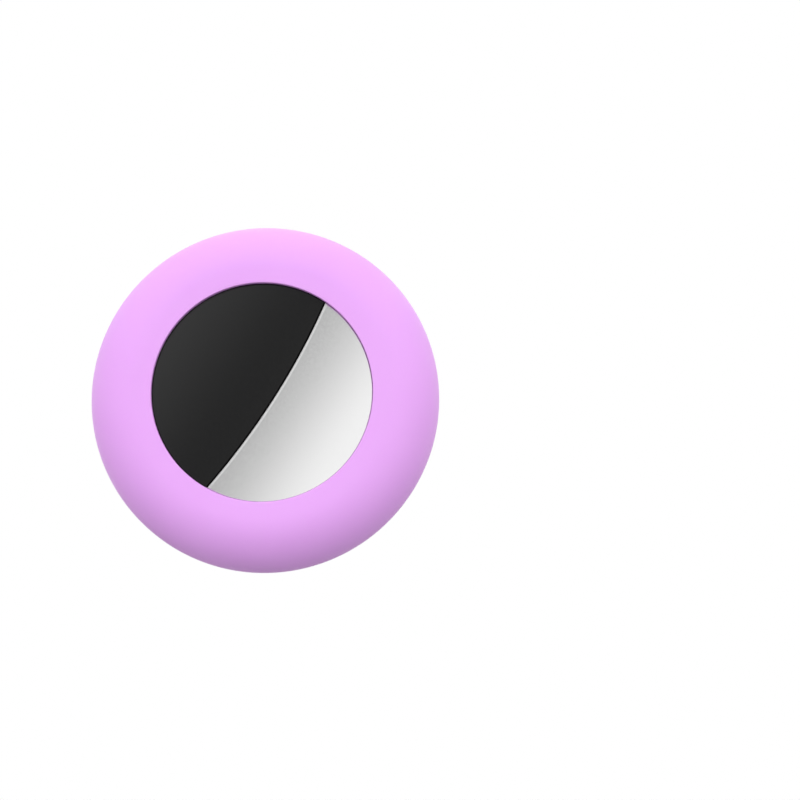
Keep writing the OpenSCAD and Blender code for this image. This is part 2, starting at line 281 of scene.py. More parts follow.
metal = {"worn": 0.96, "vary": 0.03, "detail": 5, "roughness": 0.7}


# Metal with a fine grain, a little darker where the grain sinks
def metalFinish(name, tone, roughness, grain=0.25, depth=0.0012):
    mat, tree, shader = newFinish(name, Metallic=1.0)
    fine = noise(tree, grain, metal["detail"], metal["roughness"])
    worn = tuple(metal["worn"] * c for c in tone)
    addColour(tree, shader, spread(tree, fine, 0, 1), worn, tone)
    addRoughness(tree, shader, fine, roughness, metal["vary"])
    addBump(tree, shader, fine, depth)
    return mat


moulded = {"vary": 0.04, "detail": 4}


# Moulded plastic, rubber, felt or pressed powder, with a grain of its own
def mouldedFinish(name, tone, roughness, grain=0.2, depth=0.002, specular=0.5, mottle=0.94):
    mat, tree, shader = newFinish(name, **{"Specular IOR Level": specular})
    fine = noise(tree, grain, moulded["detail"])
    shade = tuple(mottle * c for c in tone)
    addColour(tree, shader, spread(tree, fine, 0, 1), shade, tone)
    addRoughness(tree, shader, fine, roughness, moulded["vary"])
    addBump(tree, shader, fine, depth)
    return mat


foam = {
    "tone": (0.03, 0.03, 0.034),
    "walls": 2.2,  # how much lighter the walls between the pores are than the painted shade in the pores
    "pore": 0.28,
    "poreEdge": (0.1, 0.55),
    "depth": 0.05,
    "roughness": 0.95,
    "specular": 0.2,
}


# Foam with round pores, painted darker inside as shade
def foamFinish():
    mat, tree, shader = newFinish("padFoam", **{
        "Specular IOR Level": foam["specular"], "Roughness": foam["roughness"]})
    cells = addNode(tree, "ShaderNodeTexVoronoi",
                    {"Vector": objectCoords(tree), "Scale": 1 / (foam["pore"] * mm)})
    # painted shade: the pores darken towards their middles, where the bump sinks
    hollow = spread(tree, cells.outputs["Distance"], 0, 1, *foam["poreEdge"])
    lit = tuple(foam["walls"] * c for c in foam["tone"])
    addColour(tree, shader, hollow, foam["tone"], lit)
    addBump(tree, shader, hollow, foam["depth"])
    return mat


# One finish for each material slot of the record
finish = {
    "silicone": siliconeFinish(),
    "cover_steel": metalFinish("coverSteel", (0.79, 0.79, 0.79), 0.2, depth=0.0006),
    # painted reflection: a near-black panel in place of the dark surround that the polished steel
    # mirrors
    "panel_gloss": mouldedFinish("darkPanel", (0.0045, 0.0045, 0.0047), 0.2, depth=0.0004,
                                 specular=0.34),
    "shell_plastic": mouldedFinish("whiteShell", (0.84, 0.84, 0.84), 0.22, depth=0.001,
                                   mottle=0.98),
    "frame_plastic": mouldedFinish("frameBlack", (0.03, 0.03, 0.033), 0.5, grain=0.12,
                                   depth=0.005),
    "seal_rubber": mouldedFinish("sealRubber", (0.09, 0.1, 0.11), 0.7, depth=0.004),
    "antenna_metal": metalFinish("antennaCopper", (0.72, 0.43, 0.25), 0.3),
    "board_laminate": mouldedFinish("boardGreen", (0.02, 0.13, 0.06), 0.3, grain=0.4, mottle=0.8),
    "chip_plastic": mouldedFinish("chipBlack", (0.02, 0.02, 0.022), 0.55, grain=0.08, depth=0.004),
    "shield_metal": metalFinish("shieldTin", (0.6, 0.61, 0.62), 0.35),
    "coil_wire": metalFinish("coilWire", (0.62, 0.3, 0.14), 0.3),
    "yoke_steel": metalFinish("yokeZinc", (0.5, 0.51, 0.53), 0.4),
    "magnet_metal": metalFinish("magnetNickel", (0.42, 0.43, 0.45), 0.2),
    "contact_metal": metalFinish("contactGold", (0.82, 0.66, 0.34), 0.22, grain=0.15,
                                 depth=0.0005),
    "cell_steel": metalFinish("cellSteel", (0.66, 0.67, 0.68), 0.3, grain=0.8, depth=0.0001),
    "gasket_plastic": mouldedFinish("gasketGrey", (0.3, 0.33, 0.35), 0.5),
    "cathode_powder": mouldedFinish("cathodeBlack", (0.02, 0.02, 0.02), 0.85, grain=0.1,
                                    depth=0.01),
    "separator_felt": mouldedFinish("separatorFelt", (0.82, 0.82, 0.78), 0.92, grain=0.1,
                                    depth=0.01),
    "anode_metal": metalFinish("anodeMetal", (0.5, 0.51, 0.53), 0.5),
    "pad_foam": foamFinish(),
    "liner_plastic": mouldedFinish("linerNatural", (0.74, 0.74, 0.71), 0.42, depth=0.003),
}
for node, obj in frame["nodes"].items():
    obj.data.materials.clear()
    obj.data.materials.append(finish[slotOf[node]])
print("finishes ready:", len(finish))


# Points along an arc of a half section, with angles from the radius axis towards the front
def arcPoints(centreR, centreZ, radius, startAngle, endAngle, steps):
    points = []
    for i in range(steps + 1):
        angle = math.radians(startAngle + (endAngle - startAngle) * i / steps)
        points.append((centreR + radius * math.cos(angle), centreZ + radius * math.sin(angle)))
    return points


# Rounds the corners of a section given as (r, z, rounding)
def roundCorners(corners, steps=4):
    points = []
    for i, (r, z, rounding) in enumerate(corners):
        if not rounding:
            points.append((r, z))
            continue
        here = Vector((r, z))
        before = Vector(corners[i - 1][:2]) - here
        after = Vector(corners[(i + 1) % len(corners)][:2]) - here
        half = before.angle(after) / 2
        cut = rounding / math.tan(half)
        first = here + before.normalized() * cut
        last = here + after.normalized() * cut
        inwards = (before.normalized() + after.normalized()).normalized()
        middle = here + inwards * (rounding / math.sin(half))
        start = first - middle
        turn = start.angle_signed(last - middle)
        for k in range(steps + 1):
            angle = -turn * k / steps
            spun = Vector((start.x * math.cos(angle) - start.y * math.sin(angle),
                           start.x * math.sin(angle) + start.y * math.cos(angle)))
            points.append(tuple(middle + spun))
    return points


# Section of a plain ring, or of a disc where the near radius is 0
def ringSection(near, far, rear, front, edge, steps=4):
    nearEdge = edge if near else 0
    return roundCorners([(near, rear, nearEdge), (far, rear, edge), (far, front, edge),
                         (near, front, nearEdge)], steps)


# Faces between two rows of points. A row of one point is a pole
def bridge(bm, one, two, closed=False):
    count = max(len(one), len(two))
    for i in range(count if closed else count - 1):
        j = (i + 1) % count
        corners = [one[i % len(one)], one[j % len(one)], two[j % len(two)], two[i % len(two)]]
        corners = [c for n, c in enumerate(corners) if c not in corners[:n]]
        if len(corners) > 2:
            bm.faces.new(corners)


def faceOutwards(bm):
    bmesh.ops.recalc_face_normals(bm, faces=bm.faces[:])
    return bm


# Turns a half section round the axis. A section that starts and ends on the axis closes into a
# solid, and any other is joined up into a ring
def latheMesh(section, segments=240):
    bm = bmesh.new()
    columns = []
    turns = [2 * math.pi * i / segments for i in range(segments)]
    for r, z in section:
        if r == 0:
            columns.append([bm.verts.new(standUp(0, 0, z))])
        else:
            columns.append([bm.verts.new(standUp(r * math.cos(a), r * math.sin(a), z))
                            for a in turns])
    pairs = list(zip(columns, columns[1:]))
    if len(columns[0]) > 1:
        pairs.append((columns[-1], columns[0]))
    for one, two in pairs:
        bridge(bm, one, two, closed=True)
    return faceOutwards(bm)


# Skins closed rows of points that follow each other into a bar
def addBar(bm, rows):
    for one, two in zip(rows, rows[1:]):
        bridge(bm, one, two, closed=True)
    bm.faces.new(rows[0])
    bm.faces.new(rows[-1])


# Flat outlines, thickened
def cutterMesh(outlines, rear, front):
    bm = bmesh.new()
    for outline in outlines:
        addBar(bm, [[bm.verts.new(standUp(x, y, z)) for x, y in outline] for z in (rear, front)])
    return faceOutwards(bm)


def sharpEdges(bm, angle=30):
    return [e for e in bm.edges if e.calc_face_angle(0) > math.radians(angle)]


def bevelEdges(bm, edges, rounding, segments):
    bmesh.ops.bevel(bm, geom=edges, offset=rounding * mm, segments=segments, profile=0.5,
                    affect="EDGES", clamp_overlap=True)


# A flat outline, thickened, with its edges rounded
def slabMesh(outline, rear, front, edge, segments=3):
    bm = cutterMesh([outline], rear, front)
    if edge:
        bevelEdges(bm, sharpEdges(bm), edge, segments)
    return bm


def sectorOutline(near, far, centreAngle, spanAngle, steps=14):
    start = centreAngle - spanAngle / 2
    return (arcPoints(0, 0, far, start, start + spanAngle, steps)
            + arcPoints(0, 0, near, start + spanAngle, start, steps))


def turned(points, angle):
    c, s = math.cos(math.radians(angle)), math.sin(math.radians(angle))
    return [(x * c - y * s, x * s + y * c) for x, y in points]


def polar(r, angle):
    return turned([(r, 0)], angle)[0]


def barOutline(start, end, width, angle):
    half = width / 2
    return turned([(start, -half), (end, -half), (end, half), (start, half)], angle)


# A bar with rounded corners
def padOutline(start, end, width, corner, angle, steps=5):
    near, far, side = start + corner, end - corner, width / 2 - corner
    points = []
    for x, y, first in ((far, side, 0), (near, side, 90), (near, -side, 180), (far, -side, 270)):
        points += arcPoints(x, y, corner, first, first + 90, steps)
    return turned(points, angle)


def discOutline(place, radius, sides=24):
    return arcPoints(*place, radius, 0, 360 - 360 / sides, sides - 1)


def smoothShade(data, angle=32):
    data.polygons.foreach_set("use_smooth", [True] * len(data.polygons))
    data.set_sharp_from_angle(angle=math.radians(angle))


def makeObject(bm, name, material):
    data = bpy.data.meshes.new(name)
    bm.to_mesh(data)
    bm.free()
    smoothShade(data)
    obj = bpy.data.objects.new(name, data)
    bpy.context.scene.collection.objects.link(obj)
    data.materials.append(material)
    return obj


# A piece for a CAD node, with the node's name and finish: rear_shell becomes rearShell
def makePiece(bm, node):
    first, *rest = node.split("_")
    name = first + "".join(word.capitalize() for word in rest)
    return makeObject(bm, name, finish[slotOf[node]])


def standsFor(obj, node):
    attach(obj, bodyOf[node])
    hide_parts(node)
    print("made", obj.name, len(obj.data.polygons), "faces")


def makeAndPlace(bm, node):
    obj = makePiece(bm, node)
    standsFor(obj, node)
    return obj


# Cuts the many-sided faces of a merged mesh into triangles and drops those that lie folded flat
# on each other
def dropSlivers(data):
    bm = bmesh.new()
    bm.from_mesh(data)
    bmesh.ops.remove_doubles(bm, verts=bm.verts[:], dist=weld)
    bmesh.ops.triangulate(bm, faces=[f for f in bm.faces if len(f.verts) > 4])
    twins = {}
    for face in bm.faces:
        twins.setdefault(frozenset(face.verts), []).append(face)
    folded = [face for faces in twins.values() if len(faces) > 1 for face in faces]
    bmesh.ops.delete(bm, geom=folded, context="FACES")
    bm.to_mesh(data)
    bm.free()


def combine(obj, tool, operation):
    other = makeObject(tool, "tool", obj.data.materials[0])
    modifier = obj.modifiers.new("combine", "BOOLEAN")
    modifier.operation = operation
    modifier.solver = "EXACT"
    modifier.object = other
    graph = bpy.context.evaluated_depsgraph_get()
    merged = bpy.data.meshes.new_from_object(obj.evaluated_get(graph))
    obj.modifiers.clear()
    spent = [obj.data, other.data]
    obj.data = merged
    bpy.data.objects.remove(other)
    for data in spent:
        bpy.data.meshes.remove(data)
    dropSlivers(merged)
    smoothShade(merged)


def join(obj, tool):
    combine(obj, tool, "UNION")


def carve(obj, tool):
    combine(obj, tool, "DIFFERENCE")


cutPast = 0.1  # how far a cutter stands out of what it cuts

# The sleeve with its pocket and window, the tag in it, and the strap loop on its back
sleeve = {
    "backRise": 4.4,  # from the slot to the widest line
    "backEdge": 2.5,
    "frontEdge": 5.5,
    "gripGap": 0.12,
    "lipEdge": 0.12,
    "lipGap": 0.05,
    "mouldLine": (0.05, 0.05 / 3),  # half its width, and its depth
    "arcSteps": 40,
    "lipSteps": 8,
    "segments": 320,
}
tag = {"widestLine": 4.1, "rearEdge": 2.6, "wall": 1.0, "coverGap": 0.15}
loop = {
    "slotWidth": 17.8,
    "slotHeight": 5.0,
    "bandWidth": 12.5,
    "bandThick": 2.0,
    "footThick": 2.2,
    "draft": 5.0,
    "outerCorner": 1.5,
    "outerSteps": 10,
    "innerCorner": 1.0,
    "innerSteps": 8,
    "edge": 0.38,
    "edgeSteps": 5,
    "buried": 1.6,  # how deep the legs stand in the back
}
sleeveReach = reachOf("silicone_sleeve")
shellReach = reachOf("rear_shell")
coverReach = reachOf("battery_cover")


# Half section of a shallow dome that runs smoothly into a rounded edge, from the axis to the
# widest line
def domeSection(edge, rounding, rise, widest, steps):
    flat = edge - rounding
    radius = (flat ** 2 + rise ** 2 - rounding ** 2) / (2 * (rise - rounding))
    centre = widest - rise + radius
    lean = math.degrees(math.atan2(flat, radius - rise))
    crown = arcPoints(0, centre, radius, -90, -90 + lean, steps)
    crown[0] = (0, widest - rise)
    return crown + arcPoints(flat, widest, rounding, -90 + lean, 0, steps // 2)[1:]


# Outside of the tag, grown by a gap or shrunk by a wall, from the middle of the rear to the front
def tagSection(grow, steps=24):
    edge = shellReach.radius + grow
    widest = shellReach.rear + tag["widestLine"]
    rounding = shellReach.front + grow - widest
    section = domeSection(edge, tag["rearEdge"] + grow, tag["widestLine"] + grow, widest, steps)
    return section + arcPoints(edge - rounding, widest, rounding, 0, 90, steps)[1:]


def sleeveBody():
    edge, _, front = sleeveReach
    widest = loop["slotHeight"] / 2 + sleeve["backRise"]
    rounding = sleeve["frontEdge"]
    lipEdge = sleeve["lipEdge"]
    window = coverReach.radius + sleeve["lipGap"]
    steps = sleeve["arcSteps"]
    section = domeSection(edge, sleeve["backEdge"], sleeve["backRise"], widest, steps)[:-1]
    line, deep = sleeve["mouldLine"]
    section += [(edge, widest - line), (edge - deep, widest), (edge, widest + line)]
    section += arcPoints(edge - rounding, front - rounding, rounding, 0, 90, steps)
    section += arcPoints(window + lipEdge, front - lipEdge, lipEdge, 90, 180, sleeve["lipSteps"])
    pocket = tagSection(sleeve["gripGap"])
    section += [(window, pocket[-1][1])] + pocket[::-1]
    return latheMesh(section, sleeve["segments"])


# Outline of the strap loop seen along the strap: round the outside, then back along the slot
def loopOutline():
    half, deep = loop["slotWidth"] / 2, loop["slotHeight"] / 2
    rootZ = deep + loop["buried"]
    draft = math.radians(loop["draft"])
    corner, inner = loop["outerCorner"], loop["innerCorner"]
    foot = half + loop["footThick"]
    cornerZ = -deep - loop["bandThick"] + corner
    cornerX = foot - corner / math.cos(draft) - (deep - cornerZ) * math.tan(draft)
    side = arcPoints(cornerX, cornerZ, corner, -90, -loop["draft"], loop["outerSteps"])
    side += [(foot + loop["buried"] * math.tan(draft), rootZ), (half, rootZ)]
    side += arcPoints(half - inner, inner - deep, inner, 0, -90, loop["innerSteps"])
    return side + [(-x, z) for x, z in reversed(side)]


def strapLoop():
    bm = bmesh.new()
    half = loop["bandWidth"] / 2
    rows = [[bm.verts.new(standUp(x, y, z)) for x, z in loopOutline()] for y in (-half, half)]
    bridge(bm, rows[0], rows[1], closed=True)
    rims = [bm.faces.new(row) for row in rows]
    faceOutwards(bm)
    bevelEdges(bm, list({edge for face in rims for edge in face.edges}), loop["edge"],
               loop["edgeSteps"])
    return bm


sleeveObject = makePiece(sleeveBody(), "silicone_sleeve")
join(sleeveObject, strapLoop())
standsFor(sleeveObject, "silicone_sleeve")

# The crowned steel cover and a near-black panel let into it, with a curved edge between them. The
# panel is a painted reflection: it stands for a dark surround mirrored in the polished steel
cover = {
    "crown": 0.65,
    "sheet": 0.4,
    "skirt": 0.3,
    "edge": 0.06,
    "rimDrop": 0.3,
    "footEdge": 0.05,
    "innerCorner": (0.12, 0.04),
    "underRings": (11, 9, 7, 5, 3, 1.5, 0.5),
    "panelDeep": 0.12,
    "panelArc": 76.6,
    "panelTurn": 148,
    "panelPast": 1.65,  # how far the arc lies past the middle of the face
    "pocketFall": 0.3,  # share of the rim's fall that the pocket's floor follows
    "beadWide": 0.2,
    "beadHigh": 0.006,
    "jointWide": 0.22,
    "jointDeep": 0.03,
    "jointSag": 1.5,
    "jointShort": 0.05,
    "columns": 160,
    # rows of points on each column: distances from the arc, rows between, distances from the rim
    "nearArc": [0, 0.006, 0.015, 0.03, 0.055, 0.08, 0.1, 0.12, 0.145, 0.17, 0.19, 0.2, 0.215,
                0.26, 0.4, 0.7],
    "between": 14,
    "nearRim": [0.7, 0.3, 0.12, 0.075, 0.058, 0.042, 0.026, 0.012, 0.004, 0],
    "nearShare": 0.45,  # the most of a short column that the rows near the arc may take
}
crownRadius = (coverReach.radius ** 2 + cover["crown"] ** 2) / (2 * cover["crown"])
arcCentre = cover["panelArc"] - cover["panelPast"]
panelTurn = math.radians(cover["panelTurn"])


def crownAt(r):
    return coverReach.front - crownRadius + math.sqrt(crownRadius ** 2 - r * r)


# How far the rounded rim falls below the crown
def rimFall(r):
    edge = cover["edge"]
    past = r - (coverReach.radius - edge)
    return 0 if past <= 0 else edge - math.sqrt(max(0, edge ** 2 - past ** 2))


def faceHeight(x, y):
    r = math.hypot(x, y)
    return crownAt(r) - rimFall(r)


def pocketHeight(x, y):
    r = math.hypot(x, y)
    return crownAt(r) - cover["panelDeep"] - cover["pocketFall"] * rimFall(r)


# The steel has a fine bead along the arc
def steelHeight(x, y):
    past = math.hypot(x - arcCentre * math.cos(panelTurn),
                      y - arcCentre * math.sin(panelTurn)) - cover["panelArc"]
    if past >= cover["beadWide"] or past <= 0:
        return faceHeight(x, y)
    return faceHeight(x, y) + cover["beadHigh"] * math.sin(math.pi * past / cover["beadWide"])


# Half the angle that an arc about the curve's centre covers on the face, and the angle of its
# end about the axis
def arcEnds(arc, rim):
    endAngle = math.acos((rim ** 2 + arcCentre ** 2 - arc ** 2) / (2 * arcCentre * rim))
    return math.asin(rim * math.sin(endAngle) / arc), endAngle


# Columns of points over one side of the face, each from the curved edge out to the rim
def faceColumns(darkSide, inset=0):
    arc = cover["panelArc"] - inset
    rim = coverReach.radius
    arcHalf, endAngle = arcEnds(arc, rim)
    nearArc, nearRim, between = cover["nearArc"], cover["nearRim"], cover["between"]
    columns = []
    for i in range(cover["columns"] + 1):
        t = math.sin(math.pi / 2 * (2 * i / cover["columns"] - 1))
        onArc = Vector((arcCentre - arc * math.cos(t * arcHalf), arc * math.sin(t * arcHalf)))
        if darkSide:
            onRim = Vector((rim * math.cos(t * endAngle), rim * math.sin(t * endAngle)))
        else:
            rest = t * (math.pi - endAngle)
            onRim = Vector((-rim * math.cos(rest), rim * math.sin(rest)))
        length = (onRim - onArc).length
        squeeze = min(1, cover["nearShare"] * length / nearArc[-1])
        rows = [d * squeeze for d in nearArc]
        last = length - nearRim[0] * squeeze
        rows += [rows[-1] + (last - rows[-1]) * k / between for k in range(1, between)]
        rows += [length - d * squeeze for d in nearRim]
        # the first and the last column have no length
        points = [onArc.lerp(onRim, d / length) if length > 1e-6 else onArc for d in rows]
        columns.append(turned(points, cover["panelTurn"]))
    return columns


def gridRows(bm, columns, height):
    return [[bm.verts.new(standUp(x, y, height(x, y))) for x, y in column] for column in columns]


def skinGrid(bm, rows):
    for one, two in zip(rows, rows[1:]):
        bridge(bm, one, two)


def panelMesh():
    bm = bmesh.new()
    columns = faceColumns(True, cover["jointWide"])
    top = gridRows(bm, columns, faceHeight)
    base = gridRows(bm, columns, pocketHeight)
    skinGrid(bm, top)
    skinGrid(bm, base)
    for index in (0, -1):
        bridge(bm, [c[index] for c in top], [c[index] for c in base])
    bmesh.ops.remove_doubles(bm, verts=bm.verts[:], dist=weld)
    return faceOutwards(bm)


# Near-black strip in the joint between the panel and the steel, a little below both: painted shade
# along the edge of the painted reflection
def jointMesh():
    bm = bmesh.new()
    deep, wide, sunk = cover["panelDeep"], cover["jointWide"], cover["jointDeep"]
    section = ((0, deep), (wide, deep), (wide, sunk), (wide / 2, sunk * cover["jointSag"]),
               (0, sunk))
    half, _ = arcEnds(cover["panelArc"] - wide, coverReach.radius - cover["jointShort"])
    rows = []
    for i in range(cover["columns"] + 1):
        angle = panelTurn + math.pi + half * (2 * i / cover["columns"] - 1)
        row = []
        for inset, below in section:
            arc = cover["panelArc"] - inset
            x = arcCentre * math.cos(panelTurn) + arc * math.cos(angle)
            y = arcCentre * math.sin(panelTurn) + arc * math.sin(angle)
            row.append(bm.verts.new(standUp(x, y, crownAt(math.hypot(x, y)) - below)))
        rows.append(row)
    addBar(bm, rows)
    return faceOutwards(bm)


# The cover is one closed sheet: steel face, pocket for the panel, rim, skirt, and the underside
# of the crown
def coverMesh():
    bm = bmesh.new()
    steel = gridRows(bm, faceColumns(False), steelHeight)
    pocket = gridRows(bm, faceColumns(True), pocketHeight)
    skinGrid(bm, steel)
    skinGrid(bm, pocket)
    bridge(bm, [c[0] for c in steel], [c[0] for c in pocket])
    # the two rims join into one closed ring, and the skirt is drawn down from it
    upper = [c[-1] for c in steel] + [c[-1] for c in reversed(pocket)][1:-1]
    rim, rear, _ = coverReach
    edge, foot, sheet = cover["edge"], cover["footEdge"], cover["sheet"]
    far, near = cover["innerCorner"]
    inside = rim - cover["skirt"]
    under = crownAt(inside) - sheet
    skirt = [(rim, crownAt(rim) - cover["rimDrop"]), (rim, rear + edge), (rim - edge, rear),
             (inside + foot, rear), (inside, rear + foot), (inside, under - far),
             (inside - near, under - near), (inside - far, under)]
    skirt += [(r, crownAt(r) - sheet) for r in cover["underRings"]]
    last = upper
    for r, z in skirt:
        row = []
        for vert in upper:
            angle = math.atan2(vert.co.z, vert.co.x)
            row.append(bm.verts.new(standUp(r * math.cos(angle), r * math.sin(angle), z)))
        bridge(bm, last, row, closed=True)
        last = row
    bridge(bm, last, [bm.verts.new(standUp(0, 0, crownAt(0) - sheet))], closed=True)
    bmesh.ops.remove_doubles(bm, verts=bm.verts[:], dist=weld)
    # the welding leaves two tiny gaps where the arc meets the rim
    bmesh.ops.holes_fill(bm, edges=[e for e in bm.edges if e.is_boundary], sides=4)
    return faceOutwards(bm)


# the panel is a painted reflection of a dark surround in the steel
makeAndPlace(panelMesh(), "cover_dark_panel")
# painted shade: a near-black, unreflecting strip along the panel's edge
jointShade = mouldedFinish("blackSealant", (0.004, 0.004, 0.004), 0.9, specular=0.0)
jointObject = makeObject(jointMesh(), "panelJoint", jointShade)
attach(jointObject, "cover")
makeAndPlace(coverMesh(), "battery_cover")

# Plastic ring pressed into the cover's skirt, with the bayonet lugs
liner = {
    "thick": 0.4,
    "edge": 0.07,
    "lugReach": 0.7,
    "lugArc": 20,
    "lugHigh": 0.55,
    "released": 25,  # the lugs' turn past the tabs at rest, from which the cover can lift
}


def coverLiner():
    far, rear, front = reachOf("cover_liner")
    near, edge = far - liner["thick"], liner["edge"]
    obj = makePiece(latheMesh(roundCorners([
        (near, rear, edge), (far, rear, edge), (far, front, edge), (near, front, 2 * edge)])),
        "cover_liner")
    for turn in thirds:
        outline = sectorOutline(near - liner["lugReach"], far - liner["thick"] / 2,
                                liner["released"] + turn, liner["lugArc"])
        join(obj, slabMesh(outline, rear, rear + liner["lugHigh"], edge))
    return obj


standsFor(coverLiner(), "cover_liner")

# Foam pad between the cell and the cover
pad = {"edge": 0.12, "swell": 0.03, "dish": 0.02, "rearRim": 0.3, "rearLift": 0.02,
       "frontRim": 0.5, "sideArc": 60, "sideSteps": 8, "segments": 120}


# The foam bulges a little round its edge and is a touch thinner in the middle, where the crown
# presses it
def padMesh():
    r, rear, front = reachOf("pressure_pad")
    swell, dish, arc = pad["swell"], pad["dish"], pad["sideArc"]
    section = [(0, rear), (r - pad["rearRim"], rear), (r - swell, rear + pad["rearLift"])]
    section += arcPoints(r - pad["edge"] - swell, (rear + front) / 2, (front - rear) / 2, -arc,
                         arc, pad["sideSteps"])
    section += [(r - pad["frontRim"], front), (r / 2, front - dish / 2), (0, front - dish)]
    return latheMesh(section, pad["segments"])


padObject = makeAndPlace(padMesh(), "pressure_pad")

# The tag's back and rim
shell = {"bezelEdge": 0.14, "bezelSteps": 5, "outerSteps": 28, "innerSteps": 20, "segments": 256}


def shellMesh():
    bezel = coverReach.radius + tag["coverGap"]
    edge = shell["bezelEdge"]
    section = tagSection(0, shell["outerSteps"])
    section += arcPoints(bezel + edge, shellReach.front - edge, edge, 90, 180,
                         shell["bezelSteps"])
    inside = tagSection(-tag["wall"], shell["innerSteps"])
    section += [(bezel, inside[-1][1])] + inside[::-1]
    return latheMesh(section, shell["segments"])


makeAndPlace(shellMesh(), "rear_shell")

# Moulded floor with the battery bay, the tabs that hold the cover, ribs, and pegs for the board
inner = {
    "floor": 0.6,
    "hole": 5.05,
    "bayIn": 10.15,
    "bayThick": 0.8,
    "wallIn": 12.8,
    "edge": 0.1,
    "tabArc": 22,
    "tabLong": 0.7,
    "tabHigh": 0.6,
    "tabDrop": 0.1,
    "tabRoot": 0.4,
    "tabEdge": 0.07,
    "ribs": 12,
    "ribTurn": 15,
    "ribHigh": 0.9,
    "ribThick": 0.4,
    "ribRoot": 0.3,
    "ribEdge": 0.06,
    "contactTurns": (60, 180),
    "contactWide": 3.3,
    "contactHigh": 2.3,
    "contactPast": (0.6, 0.4),  # past the bay's wall, inside and outside
    "pegAt": 9.8,
    "pegTurn": 30,
    "pegRadius": 1.0,
    "pegRoot": 0.3,
    "pinRadius": 0.5,
    "pinRoot": 0.15,
    "pegEdge": 0.08,
}
innerReach = reachOf("inner_frame")
boardReach = reachOf("circuit_board")
sealReach = reachOf("seal_ring")
cellReach = reachOf("cell_can")
yokeReach = reachOf("magnet_yoke")
floorTop = reachOf("negative_contact").rear
floorBase = floorTop - inner["floor"]
pegPlaces = [polar(inner["pegAt"], inner["pegTurn"] + turn) for turn in thirds]


def innerFrame():
    wallOut, pinEnd, bayTop = innerReach
    wallTop = sealReach.rear
    hole, bayIn, wallIn, edge = inner["hole"], inner["bayIn"], inner["wallIn"], inner["edge"]
    bayOut = bayIn + inner["bayThick"]
    obj = makePiece(latheMesh(roundCorners([
        (hole, floorBase, edge), (wallOut, floorBase, edge), (wallOut, wallTop, edge),
        (wallIn, wallTop, edge), (wallIn, floorTop, 2 * edge), (bayOut, floorTop, 2 * edge),
        (bayOut, bayTop, edge), (bayIn, bayTop, 2 * edge), (bayIn, floorTop, edge),
        (hole, floorTop, edge)])), "inner_frame")
    pastIn, pastOut = inner["contactPast"]
    for turn in inner["contactTurns"]:
        outline = barOutline(bayIn - pastIn, bayOut + pastOut, inner["contactWide"], turn)
        carve(obj, slabMesh(outline, floorTop, floorTop + inner["contactHigh"], 0))
    tabTop = bayTop - inner["tabDrop"]
    for turn in thirds:
        outline = sectorOutline(bayOut - inner["tabRoot"], bayOut + inner["tabLong"], turn,
                                inner["tabArc"])
        join(obj, slabMesh(outline, tabTop - inner["tabHigh"], tabTop, inner["tabEdge"]))
    # low ribs stiffen the floor outside the bay, below the sweep of the cover's skirt
    root = inner["ribRoot"]
    for i in range(inner["ribs"]):
        outline = barOutline(bayOut - root, wallIn + root, inner["ribThick"],
                             inner["ribTurn"] + 360 * i / inner["ribs"])
        join(obj, slabMesh(outline, floorTop - root, floorTop + inner["ribHigh"],
                           inner["ribEdge"]))
    boardFront = boardReach.front
    for place in pegPlaces:
        for radius, rear, front in (
                (inner["pegRadius"], boardFront, floorBase + inner["pegRoot"]),
                (inner["pinRadius"], pinEnd, boardFront + inner["pinRoot"])):
            join(obj, slabMesh(discOutline(place, radius), rear, front, inner["pegEdge"]))
    return obj


standsFor(innerFrame(), "inner_frame")

# Can, cap and gasket of the coin cell, with a plain plus on the can
coin = {
    "sheet": 0.25,
    "crimp": 0.9,
    "canCorners": (0.32, 0.24, 0.1, 0.06, 0.12),  # front, rear, crimped lip, inside rear and front
    "capCorners": (0.22, 0.05, 0.1),  # rear, rim, inside
    "cornerSteps": 6,
    "segments": 256,
    "gasketEdge": 0.06,
    "gasketSegments": 200,
    "plusLong": 3.2,
    "plusWide": 0.7,
    "plusDeep": 0.04,
    "plusAt": 5.2,
    "plusPast": 0.3,
}
capReach = reachOf("cell_cap")
gasketReach = reachOf("cell_gasket")


def canMesh():
    r, rear, front = cellReach
    t = coin["sheet"]
    frontCorner, rearCorner, lipEdge, insideRear, insideFront = coin["canCorners"]
    lip = r - coin["crimp"]
    return latheMesh(roundCorners([
        (0, front, 0), (r, front, frontCorner), (r, rear, rearCorner), (lip, rear, lipEdge),
        (lip, rear + t, lipEdge), (r - t, rear + t, insideRear), (r - t, front - t, insideFront),
        (0, front - t, 0)], coin["cornerSteps"]), coin["segments"])


def capMesh():
    r, rear, front = capReach
    t = coin["sheet"]
    rearCorner, rimEdge, insideCorner = coin["capCorners"]
    return latheMesh(roundCorners([
        (0, rear, 0), (r, rear, rearCorner), (r, front, rimEdge), (r - t, front, rimEdge),
        (r - t, rear + t, insideCorner), (0, rear + t, 0)], coin["cornerSteps"]),
        coin["segments"])


def cellCan():
    obj = makePiece(canMesh(), "cell_can")
    long, wide = coin["plusLong"] / 2, coin["plusWide"] / 2
    front, y = cellReach.front, coin["plusAt"]
    for x, half in ((long, wide), (wide, long)):
        outline = [(-x, y - half), (x, y - half), (x, y + half), (-x, y + half)]
        carve(obj, slabMesh(outline, front - coin["plusDeep"], front + coin["plusPast"], 0))
    return obj


standsFor(cellCan(), "cell_can")
makeAndPlace(capMesh(), "cell_cap")
makeAndPlace(latheMesh(ringSection(capReach.radius, *gasketReach, coin["gasketEdge"]),
                       coin["gasketSegments"]), "cell_gasket")

